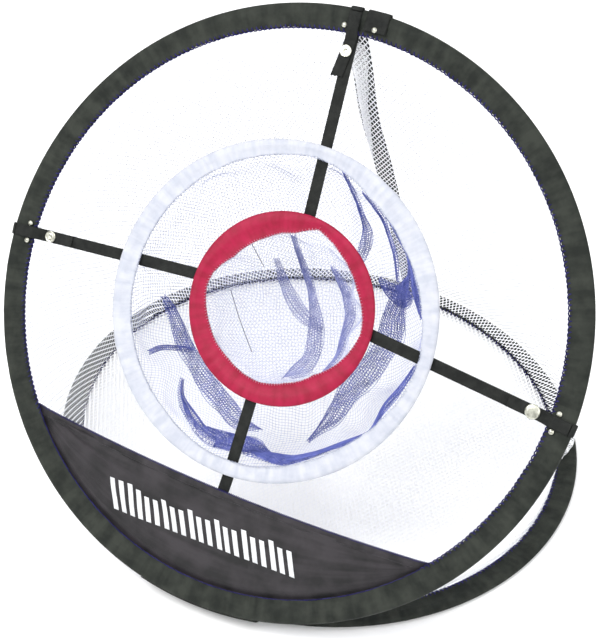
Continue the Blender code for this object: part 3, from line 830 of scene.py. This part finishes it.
def strip_axes(direction, spot):
    """Axes of a strap: its origin, along a direction in the front plane, out of it, and across."""
    direction = unit(direction)
    along = direction[0] * X_AXIS + direction[1] * UPHILL
    return at(FRONT, spot[0], spot[1]), along, FACING, np.cross(along, FACING)


def wrap_arc(start, end):
    """The part of a strap's path that goes round the hoop, between two angles."""
    turn = np.linspace(start, end, 12)
    return np.stack((WRAP_RADIUS * np.cos(turn) - WRAP_INSET, WRAP_RADIUS * np.sin(turn)), 1)


def fastener(name, node, profile, radius, high, axes, spot, way=1, body="front", steps=40):
    """Part of a snap, or a rivet, at (along, out, across) on a strap's axes."""
    origin = axes[0] + axes[1] * spot[0] + axes[2] * spot[1] + axes[3] * spot[2]
    turned = lathe(name, [(r * radius, h * high) for r, h in profile], origin, axes[2] * way,
                   SNAP_METAL, steps)
    fit(turned, body, node)


def snapped_strap(side):
    inner, outer = STRAP_ENDS[side]
    axes = strip_axes(outer - inner, outer)
    length = np.linalg.norm(outer - inner)
    arc = wrap_arc(-math.pi * 0.40, math.pi * 0.48)
    path = np.concatenate(([(-length, -STRAP_BACK), (arc[0, 0] - 0.002, -STRAP_BACK)], arc))
    ribbon("webbing_" + side, "strap_" + side, "front", path, axes)

    path = [(-WRAP_INSET - GAP, WRAP_RADIUS), (-TAIL_STEP, WRAP_RADIUS),
            (-TAIL_STEP - 0.008, -TAIL_LOW), (-TAIL_LENGTH, -TAIL_LOW)]
    skew = TOP_TAIL_SKEW if side == "top" else 0.0
    ribbon("webbing_tail_" + side, "strap_tail_" + side, "tail_" + side, path, axes,
           spacing=0.0006, skew=skew, frayed=0.0009)

    low = -TAIL_LOW + STRAP_THICK / 2 + CLEARANCE
    shift = skew * (SNAP_INSET - TAIL_LENGTH * SKEW_START)
    fastener("snap_button_" + side, "snap_cap_" + side,
             DOMED_CAP if side == "right" else RINGED_CAP, SNAP_RADIUS[side], SNAP_HIGH, axes,
             (-SNAP_INSET, low, shift), body="tail_" + side)
    low = -STRAP_BACK - STRAP_THICK / 2 - CLEARANCE
    fastener("snap_back_" + side, "snap_stud_" + side, STUD, STUD_RADIUS, STUD_HIGH, axes,
             (-SNAP_INSET, low, 0.0), way=-1)
    for number, across in enumerate(RIVET_ACROSS[side], 1):
        low = SLEEVE_THICK / 2 - RIVET_SUNK
        if side == "top" and number == 1:
            low = STRAP_BACK + STRAP_THICK / 2
        fastener(f"rivet_head_{side}_{number}", f"rivet_{side}_{number}", RIVET, RIVET_RADIUS,
                 RIVET_HIGH, axes, (-RIVET_INSET, low, -across), steps=28)


def bottom_strap():
    """The strap from the inner ring to the panel, which steps back behind the panel's hem."""
    inner, outer = STRAP_BOTTOM_ENDS
    axes = strip_axes(outer - inner, outer)
    length = np.linalg.norm(outer - inner)
    behind = PANEL_SOLID / 2 + STRAP_THICK / 2 + BEHIND_PANEL
    hem = HEM_SOLID / 2 + STRAP_THICK / 2 + GAP
    path = [(-length, -STRAP_BACK), (-0.068, -STRAP_BACK), (-0.058, -hem - 0.0004),
            (-0.048, -hem - 0.0004), (-0.042, -behind), (0, -behind)]
    ribbon("webbing_bottom", "strap_bottom", "front", path, axes)


def stay_cuffs():
    """The two loops that hold the stay, round the front's top and the base's rear."""
    origin, along, out, across = strip_axes(CUFF_SPOT, CUFF_SPOT)
    arc = wrap_arc(-math.pi * 0.40, math.pi * 0.40)
    path = np.concatenate(([(-CUFF_REACH, -STRAP_BACK)], arc, [(-CUFF_REACH, STRAP_BACK)]))
    ribbon("stay_cuff_top", "stay_loop_top", "front", path,
           (origin + across * CUFF_SHIFT, along, out, across), STAY_WIDTH)
    rear = BASE_CENTRE + np.array((STAY_SHIFT, HOOP_RADIUS - CLEARANCE, 0))
    path = np.concatenate(([(-CUFF_REACH, STRAP_BACK)], wrap_arc(0, math.pi * 0.40)[::-1]))
    ribbon("stay_cuff_base", "stay_loop_base", "base", path, (rear, Y_AXIS, Z_AXIS, X_AXIS),
           STAY_WIDTH)


def stay():
    """The webbing from the base's rear to the front's top, in a half on each side of the fold."""
    stay_cuffs()
    clear = STRAP_BACK + STRAP_THICK + STAY_THICK + GAP
    head = at(FRONT, STAY_HEAD_SHIFT, HOOP_RADIUS - STAY_HEAD_INSET, -clear)
    foot = BASE_CENTRE + np.array((STAY_SHIFT, HOOP_RADIUS - STAY_FOOT_INSET, clear))
    along = unit(head - foot)
    face = unit(np.cross(X_AXIS, along))
    side = np.cross(along, face)
    length = np.linalg.norm(head - foot)
    crossing = beyond_fold(foot) / (beyond_fold(foot) - beyond_fold(head))
    for half, start, end in (("base", 0, crossing), ("front", crossing, 1)):
        shares = start + (end - start) * np.linspace(0, 1, 7)
        slack = np.stack((length * shares, STAY_SLACK * np.sin(math.pi * shares)), 1)

        def bowed(share, start=start, end=end):
            """The stay bows to the left below its head."""
            off = start + (end - start) * share - STAY_BOW_PLACE
            return -side[0] * STAY_BOW * math.exp(-(off / STAY_BOW_RANGE) ** 2)

        band = ribbon("stay_band_" + half, "rear_stay", half, slack, (foot, along, face, side),
                      STAY_WIDTH, STAY_THICK, 0.0012, drift=bowed)
        fold_up(band)
    return foot, head, face


def beyond_fold(points):
    """How far points are beyond the plane halfway between the base and the front."""
    return (points - PIVOT) @ FOLD_NORMAL


def fold_up(piece):
    """Gives one half of a piece that spans the fold its own copy of its mesh."""
    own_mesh(piece)


def hinge():
    """The cloth that joins the two sleeves at the front, gathered between its stitch lines."""
    angle = -math.pi / 2 + HINGE_HALF_ANGLE * np.linspace(-1, 1, 90)
    radius = HOOP_RADIUS + 0.0006
    low = at(BASE, radius * np.cos(angle), radius * np.sin(angle))[:, None]
    high = at(FRONT, radius * np.cos(angle), radius * np.sin(angle))[:, None]
    share = np.linspace(0, 1, 14)[None, :, None]
    free = 4 * share * (1 - share)
    middle = low + (high - low) * share
    crease = ripple(middle * np.array((1, 0.3, 0.3)), 0.006, 3.0)[..., None]
    middle = middle + free * np.array((0, -0.0011, -0.0009))
    middle = middle + crease * np.array((0, -0.0004, 0)) * free
    outward = np.array((0, -0.00035, 0))
    grid = np.concatenate((middle + outward, (middle - outward)[:, ::-1]), 1)
    grid[..., 2] = np.maximum(grid[..., 2], 0.0002)
    tape = skin("hinge_cloth", grid, BLACK_CLOTH, (False, True), (0.0012, 0.0012), 1)
    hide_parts("hinge_tape")
    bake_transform(tape)


# ---------------- nets

def diamonds(name, surface, inside, width, height, half_x=MESH_HALF_X):
    """A knitted net: diamond cells on a surface given as a function of flat cut coordinates."""
    half = np.array((half_x, MESH_HALF_Y))
    i, j = np.meshgrid(np.arange(-1, int(width / half_x) + 3),
                       np.arange(-1, int(height / MESH_HALF_Y) + 3), indexing="ij")
    mid = (i + j) % 2 == 1
    cells = np.stack((i[mid], j[mid]), -1)
    cells = cells[inside(cells[:, 0] * half_x, cells[:, 1] * MESH_HALF_Y)]
    offsets = np.array(((-1, 0), (0, -1), (1, 0), (0, 1)))
    keys, index = np.unique((cells[:, None] + offsets).reshape(-1, 2), axis=0,
                            return_inverse=True)
    index = index.reshape(-1, 4)
    nodes = surface(keys[:, 0] * half_x, keys[:, 1] * MESH_HALF_Y)
    inner = (cells[:, None] + offsets * MESH_HOLE) * half
    holes = surface(inner[..., 0], inner[..., 1]).reshape(-1, 3)
    hole_index = len(nodes) + np.arange(len(cells) * 4).reshape(-1, 4)
    faces = np.concatenate([np.stack((index[:, k], index[:, (k + 1) % 4],
                                      hole_index[:, (k + 1) % 4], hole_index[:, k]), -1)
                            for k in range(4)])
    return build(name, np.concatenate((nodes, holes)), faces, CATCH_NET)


def catch_span(angle):
    """Where the catch net's wall starts on the front sleeve and where it reaches the base sleeve.

    In front it ends at the base sleeve's inner seam. Towards the back it comes down outside the
    sleeve, and a hem of the length given goes in over the sleeve's top. Under the stay it stays
    in.
    """
    across, sine = np.cos(angle), np.sin(angle)
    upper = at(FRONT, NET_EDGE_RADIUS * across, NET_EDGE_RADIUS * sine, -NET_EDGE_BEHIND)
    over = smooth((sine - NET_OVER_START) / NET_OVER_RANGE)
    over = over * (1 - 0.5 * stay_hold(HOOP_RADIUS * across, sine))
    radius = NET_BASE_RADIUS + (HOOP_RADIUS - NET_OVER_INSET - NET_BASE_RADIUS) * over
    height = NET_EDGE_HEIGHT + (SLEEVE_THICK / 2 + NET_OVER_CLEAR - NET_EDGE_HEIGHT) * over
    lower = BASE_CENTRE + np.stack((radius * across, radius * sine, height), -1)
    return upper, lower, over * NET_HEM


def stay_hold(x, sine):
    """How much the stay holds the catch net in, from 0 to 1."""
    return np.exp(-((x - STAY_MIDDLE) / STAY_HOLD_WIDTH) ** 2) * (sine > 0)


def catch_surface(x, y):
    """Points of the wall at flat coordinates: round the hoop from its front, and down."""
    angle = x / NET_EDGE_RADIUS - math.pi / 2
    upper, lower, hem = catch_span(angle)
    length = np.linalg.norm(lower - upper, axis=-1)
    share = np.clip(y / length, 0, 1)[..., None]
    sine = np.sin(angle)[..., None]
    base = upper + (lower - upper) * share
    free = 4 * share * (1 - share) * (1 + sine) / 2 * (1 - stay_hold(base[..., :1], sine))
    radial = level(np.cos(angle), np.sin(angle))
    base = base - radial * np.clip(y - length, 0, hem)[..., None]
    slack = ripple(level(x, y * 0.5), 0.07, 5.0) + 0.5 * ripple(level(x, y * 0.4), 0.03, 15.0)
    outward = level(np.cos(angle), np.maximum(np.sin(angle), 0))
    return base + outward * (NET_BULGE + NET_SLACK * slack[..., None]) * free


def catch_net():
    """The net's wall, as the half that folds up with the front and the half on the base."""
    width = math.tau * NET_EDGE_RADIUS
    half_x = width / round(width / (2 * MESH_HALF_X)) / 2
    gather = stay_gather(*stay())
    for half, (tall, area) in WALL_HALVES.items():
        def inside(x, y, half=half):
            upper, lower, hem = catch_span(x / NET_EDGE_RADIUS - math.pi / 2)
            length = np.linalg.norm(lower - upper, axis=-1)
            above = beyond_fold(catch_surface(x, y)) > 0
            on_wall = (x > 0) & (x < width) & (y > 0) & (y < length + hem)
            return on_wall & (above == (half == "front"))

        net = diamonds("catch_mesh_" + half, catch_surface, inside, width, WALL_TALLEST, half_x)
        fit(net, half, "catch_net")
        fold_up(net)


def floor_surface(x, y):
    """Points of the floor net at flat coordinates; past its edge they stop at the edge."""
    x, y = x - FLOOR_HALF, y - FLOOR_HALF
    r = np.maximum(np.hypot(x, y), 1e-9)
    scale = np.minimum(1, FLOOR_NET_RADIUS / r)
    x, y = x * scale, y * scale
    r = np.minimum(r, FLOOR_NET_RADIUS)
    lay = 0.0007 + 0.0019 * smooth((r - 0.220) / 0.014)
    soft = 0.5 + 0.5 * ripple(level(x, y), 0.03, 7.0)
    return np.stack((BASE_CENTRE[0] + x, BASE_CENTRE[1] + y, lay + 0.0010 * soft), -1)


def floor_net():
    def inside(x, y):
        return np.hypot(x - FLOOR_HALF, y - FLOOR_HALF) < FLOOR_NET_RADIUS

    net = diamonds("floor_mesh", floor_surface, inside, 2 * FLOOR_HALF, 2 * FLOOR_HALF)
    fit(net, "base", "floor_net")


def bag_surface(centre, mouth, depths, radii, sags, cut, gather, folds, seed):
    """A bag that hangs behind a ring, as a function of flat coordinates on its round cut.

    depths, radii and sags give its shape behind the mouth, down to its bottom. mouth gives the
    radius of the ring's inner seam at an angle. The bag is sewn there, and passes behind the
    straps that cross it. gather is how deep its folds are, and folds how many.
    """
    down = np.array((0, -math.sin(FRONT_RISE), -math.cos(FRONT_RISE)))
    depth = np.array((0, *depths, depths[-1]))
    radius = np.array((radii[0] + 0.004, *radii, 0.0))
    sag = np.array((0, *sags, sags[-1]))
    step = np.hypot(np.diff(depth), np.diff(radius))
    length = np.concatenate(([0], np.cumsum(step)))
    dense = np.linspace(0, length[-1], 120)
    curves = []
    for values in (depth, radius, sag):
        curves.append(soften(np.interp(dense, length, values), BAG_SOFTENING))
    spread = dense / length[-1] * cut

    def surface(x, y):
        rho = np.minimum(np.hypot(x, y), cut)
        theta = np.arctan2(y, x)
        from_mouth = cut - rho
        d, r, s = (np.interp(from_mouth, spread, c) for c in curves)
        wall = smooth(from_mouth / (0.12 * cut)) * smooth((rho - 0.15 * cut) / (0.3 * cut))
        wave = np.sin(folds * theta + 1.3 * np.sin(3 * theta + seed) + from_mouth * 14)
        wave += 0.6 * np.sin(folds * 1.7 * theta + seed + from_mouth * 31)
        loose = ripple(level(x, y), 0.035, seed) + 0.5 * ripple(level(x, y), 0.015, seed + 2)
        r = r + gather * wall * wave
        d = d + gather * 0.8 * smooth(from_mouth / (0.2 * cut)) * loose
        near = 1 - smooth(from_mouth / MOUTH_TURN)
        r = r + (mouth(theta) - r) * near
        crossing = np.min([np.abs((theta - a + math.pi) % math.tau - math.pi)
                           for a in STRAP_ANGLES], axis=0) * r
        lift = near ** 2 * smooth((crossing - 0.007) / 0.006)
        u = centre[0] + r * np.cos(theta)
        h = centre[1] + r * np.sin(theta) + s * down[1]
        n = -POCKET_BEHIND - d + s * down[2] + (POCKET_BEHIND - MOUTH_BEHIND) * lift
        return u, h, n

    return surface


def lattice(cut, pitch, turn):
    """The crossing threads of a round cut of square net: flat points and strand numbers."""
    lines = np.arange(-math.ceil(cut / pitch), math.ceil(cut / pitch) + 1) * pitch
    xs, ys, number, count = [], [], [], 0
    for flip in (False, True):
        for offset in lines:
            reach = math.sqrt(max(cut * cut - offset * offset, 0))
            if reach < pitch:
                continue
            steps = np.arange(math.ceil(-reach / pitch), math.floor(reach / pitch) + 1) * pitch
            steps = np.concatenate(([-reach], steps, [reach]))
            steps = steps[np.concatenate(([True], np.diff(steps) > pitch * 0.05))]
            a, b = steps, np.full(len(steps), offset)
            if flip:
                a, b = b, a
            xs.append(a * math.cos(turn) - b * math.sin(turn))
            ys.append(a * math.sin(turn) + b * math.cos(turn))
            number.append(np.full(len(steps), count))
            count += 1
    return np.concatenate(xs), np.concatenate(ys), np.concatenate(number)


def surface_normals(surface, x, y, size=0.0005):
    """Points and normals of a bag at flat coordinates, in the front plane's own coordinates."""
    here = np.stack(surface(x, y), -1)
    right = np.stack(surface(x + size, y), -1) - here
    up = np.stack(surface(x, y + size), -1) - here
    return here, unit(np.cross(right, up))


def net_piece(name, spots, normals, number, radius, finish, node=None):
    """Threads of a bag, tied to the front, each piece with its own copy of its mesh."""
    out = at(FRONT, *normals.T) - FRONT_CENTRE
    net = tubes(name, at(FRONT, *spots.T), number, out, radius, finish)
    fit(net, "front", node)
    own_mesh(net)
    return net


def numbered(threads):
    """The points, directions and thread numbers of all the threads."""
    every = np.concatenate(threads)
    number = np.concatenate([np.full(len(part), k) for k, part in enumerate(threads)])
    return every[:, :3], every[:, 3:], number


def picked(values, index):
    """Rows of an array at fractional places."""
    place = np.arange(len(values))
    return np.stack([np.interp(index, place, values[:, k]) for k in range(values.shape[1])], 1)


def gathered_threads(line, layers, seed):
    """Threads of a gathered strip of net: long ones drawn together, and short ones across it.

    Each row of line is a point, a direction across, a direction out and a half width. Each
    thread comes back as rows of a point and its outward direction.
    """
    def thread_at(index, side, layer):
        row = picked(line, index)
        arch = np.sqrt(np.clip(1 - side * side, 0, 1))
        rise = FOLD_RISE + FOLD_LAYER * layer + FOLD_ARCH * arch
        spot = row[:, :3] + row[:, 3:6] * (row[:, 9] * side)[:, None] + row[:, 6:9] * rise[:, None]
        return np.column_stack((spot, row[:, 6:9]))

    threads = []
    index = np.arange(len(line), dtype=float)
    count = max(int(2 * line[:, 9].max() / FOLD_PITCH_ALONG), 3)
    for layer in range(layers):
        for side in np.linspace(-1, 1, count + layer % 2):
            waver = 0.14 * np.sin(index * 0.13 + layer * 2 + side * 2.5 + seed)
            whole = thread_at(index, side * (1 - 0.12 * layer) + waver, layer)
            late, early = (
                int(FOLD_STAGGER * len(line) * (0.5 + 0.5 * math.sin(side * a + layer * b + seed)))
                for a, b in ((5.3, 2.1), (7.7, 1.3)))
            threads.append(whole[late:len(line) - early])
        slant = (4.0, -3.0, 1.0)[layer % 3]
        for start in np.arange(1 + layer * 0.8, len(line) - 2, FOLD_PITCH_ACROSS / FOLD_STEP):
            side = np.linspace(-1, 1, 9)
            threads.append(thread_at(start + slant * side, side, layer))
    return threads


def softened_line(spots, normals, half):
    """An even line through a few points, softened, in the form gathered_threads takes."""
    along = np.concatenate(([0], np.cumsum(np.linalg.norm(np.diff(spots, axis=0), axis=1))))
    share = np.linspace(0, along[-1], int(along[-1] / FOLD_STEP) + 1)
    line = np.column_stack((spots, normals, half))
    line = np.stack([np.interp(share, along, line[:, k]) for k in range(7)], 1)
    line = soften(line, FOLD_SOFTENING)
    out = unit(line[:, 3:6])
    across = unit(np.cross(out, np.gradient(line[:, :3], axis=0)))
    return np.column_stack((line[:, :3], across, out, line[:, 6]))


def on_cut(surface, path):
    """A path of flat millimetres in metres, and its points and normals on the bag."""
    path = np.array(path, float) / 1000
    return path, *surface_normals(surface, path[:, 0], path[:, 1])


def stay_gather(foot, head, face):
    """The catch net's slack, gathered along the upper part of the stay."""
    toward = -face * np.sign(face[1])
    rows = np.array(STAY_GATHER) / np.array((1, 1000, 1000, 1000))
    spots = foot + rows[:, :1] * (head - foot) + rows[:, 1:2] * X_AXIS + rows[:, 2:3] * toward
    line = softened_line(spots, np.repeat(toward[None], len(spots), 0), rows[:, 3])
    points, out, number = numbered(gathered_threads(line, 1, 2.0))
    net = tubes("catch_mesh_gather", points, number, out, 0.00042, CATCH_NET)
    fit(net, "front")
    fold_up(net)
    return net


def folds(name, surface, paths, radius, finish):
    """Folds of a bag, each in two layers of thread along its (x, y, half width)."""
    threads = []
    for k, path in enumerate(paths):
        path, spots, normals = on_cut(surface, path)
        half = np.maximum(path[:, 2], FOLD_LEAST)
        threads += gathered_threads(softened_line(spots, normals, half), 2, k * 1.7)
    return net_piece(name, *numbered(threads), radius, finish)


def seam_lines(name, surface, paths, radius, finish):
    """Stitched seams of a bag, one thread for each path of flat millimetres."""
    lines = []
    for path in paths:
        path, spots, normals = on_cut(surface, path)
        spots = rounded(spots, FOLD_STEP, FOLD_SOFTENING)
        out = picked(normals, np.linspace(0, len(path) - 1, len(spots)))
        stitch = 0.0003 * np.sin(np.arange(len(spots)) * 1.9)
        lines.append(np.column_stack((spots + out * (0.0008 + stitch)[:, None], out)))
    return net_piece(name, *numbered(lines), radius, finish)


def pocket(name, node, surface, cut, pitch, turn, strand):
    """A bag's own net, whose threads cross at a pitch and are turned by an angle."""
    x, y, number = lattice(cut, pitch, math.radians(turn))
    net = net_piece(name, *surface_normals(surface, x, y), number, strand, SHADED_POCKET_NET, node)


def middle_mouth(angle):
    return MIDDLE_RADIUS - white_width(angle) + 0.0012


def inner_mouth(angle):
    return INNER_RADIUS - red_width(angle) + 0.0010


def pockets():
    middle = bag_surface(MIDDLE_CENTRE, middle_mouth, (0.030, 0.066, 0.084),
                         (0.122, 0.098, 0.055), (0.004, 0.016, 0.024), MIDDLE_CUT, 0.004, 9, 3.0)
    # The folds take darker nets than the bag round them: painted shade of the layered net.
    deep = folds("middle_bag_folds", middle, MIDDLE_FOLDS, 0.00030, FOLD_SHADE_NET)
    pocket("middle_bag_net", "middle_pocket_net", middle, MIDDLE_CUT, 0.0030, 20, 0.00016)
    inner = bag_surface(INNER_CENTRE, inner_mouth, (0.022, 0.044, 0.054), (0.060, 0.048, 0.026),
                        (0.002, 0.008, 0.012), INNER_CUT, 0.0025, 7, 5.0)
    pale = folds("inner_bag_folds", inner, INNER_FOLDS, 0.00026, PALE_FOLD_SHADE_NET)
    seams = seam_lines("inner_bag_seams", inner, INNER_SEAMS, 0.00032, SEAM_THREAD)
    pocket("inner_bag_net", "inner_pocket_net", inner, INNER_CUT, 0.0028, -12, 0.00015)


# ---------------- frame nodes, light, camera

def carried_over():
    """The wires and ferrules inside the sleeves keep their own shapes."""
    for name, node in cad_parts.items():
        for ending, finish in (("_wire", SPRING_WIRE), ("_ferrule", FERRULE)):
            if name.endswith(ending):
                node.data.materials.clear()
                node.data.materials.append(finish)


def camera():
    a, e, roll = CAMERA_AZIMUTH, CAMERA_HEIGHT, CAMERA_ROLL
    back = np.array((math.sin(a) * math.cos(e), -math.cos(a) * math.cos(e), math.sin(e)))
    right = np.array((math.cos(a), math.sin(a), 0))
    up = np.cross(back, right)
    turned_right = math.cos(roll) * right + math.sin(roll) * up
    turned_up = math.cos(roll) * up - math.sin(roll) * right
    spot = (CAMERA_AIM + back * CAMERA_DISTANCE + turned_right * CAMERA_SLIDE[0]
            + turned_up * CAMERA_SLIDE[1])
    data = bpy.data.cameras.new("camera")
    data.lens = CAMERA_LENS
    data.sensor_width = 36
    data.clip_start, data.clip_end = 0.05, 30
    obj = linked("camera", data)
    matrix = np.eye(4)
    matrix[:3] = np.stack((turned_right, turned_up, back, spot), 1)
    obj.matrix_world = Matrix(matrix)
    bpy.context.scene.camera = obj


def area_light(name, spot, size, power):
    data = bpy.data.lights.new(name, "AREA")
    data.shape = "DISK"
    data.size = size
    data.energy = power
    obj = linked(name, data)
    obj.location = spot
    obj.rotation_mode = "QUATERNION"
    obj.rotation_quaternion = (Vector(LAMP_TARGET) - Vector(spot)).to_track_quat("-Z", "Y")


def studio():
    made, tree, shader = node_material("studio_floor", 0.9, 0.1)
    tinted(tree, shader, (0.96, 0.96, 0.96), (0.98, 0.98, 0.98), 0.8)
    reach = np.linspace(-FLOOR_REACH, FLOOR_REACH, 9)
    grid = level(*np.meshgrid(reach, reach, indexing="ij"))
    grid[..., 2] -= FLOOR_BELOW
    skin("floor", grid, made)
    world = bpy.data.worlds.new("studio")
    world.use_nodes = True
    tree = world.node_tree
    place = add(tree, "ShaderNodeTexCoord")
    split = add(tree, "ShaderNodeSeparateXYZ")
    height = add(tree, "ShaderNodeMapRange", From_Min=-1, From_Max=1)
    sky = ramp(tree, SKY_ENDS)
    backdrop = tree.nodes["Background"]
    backdrop.inputs["Strength"].default_value = SKY_STRENGTH
    join(tree, place, "Generated", split, "Vector")
    join(tree, split, "Z", height, "Value")
    join(tree, height, "Result", sky, "Fac")
    join(tree, sky, "Color", backdrop, "Color")
    scene = bpy.context.scene
    scene.world = world
    for lamp in LAMPS:
        area_light(*lamp)
    scene.view_settings.view_transform = "Standard"
    scene.view_settings.look = "None"


camera()
studio()
rings()
panel()
for strap_side in STRAP_ENDS:
    snapped_strap(strap_side)
bottom_strap()
hinge()
catch_net()
floor_net()
pockets()
carried_over()
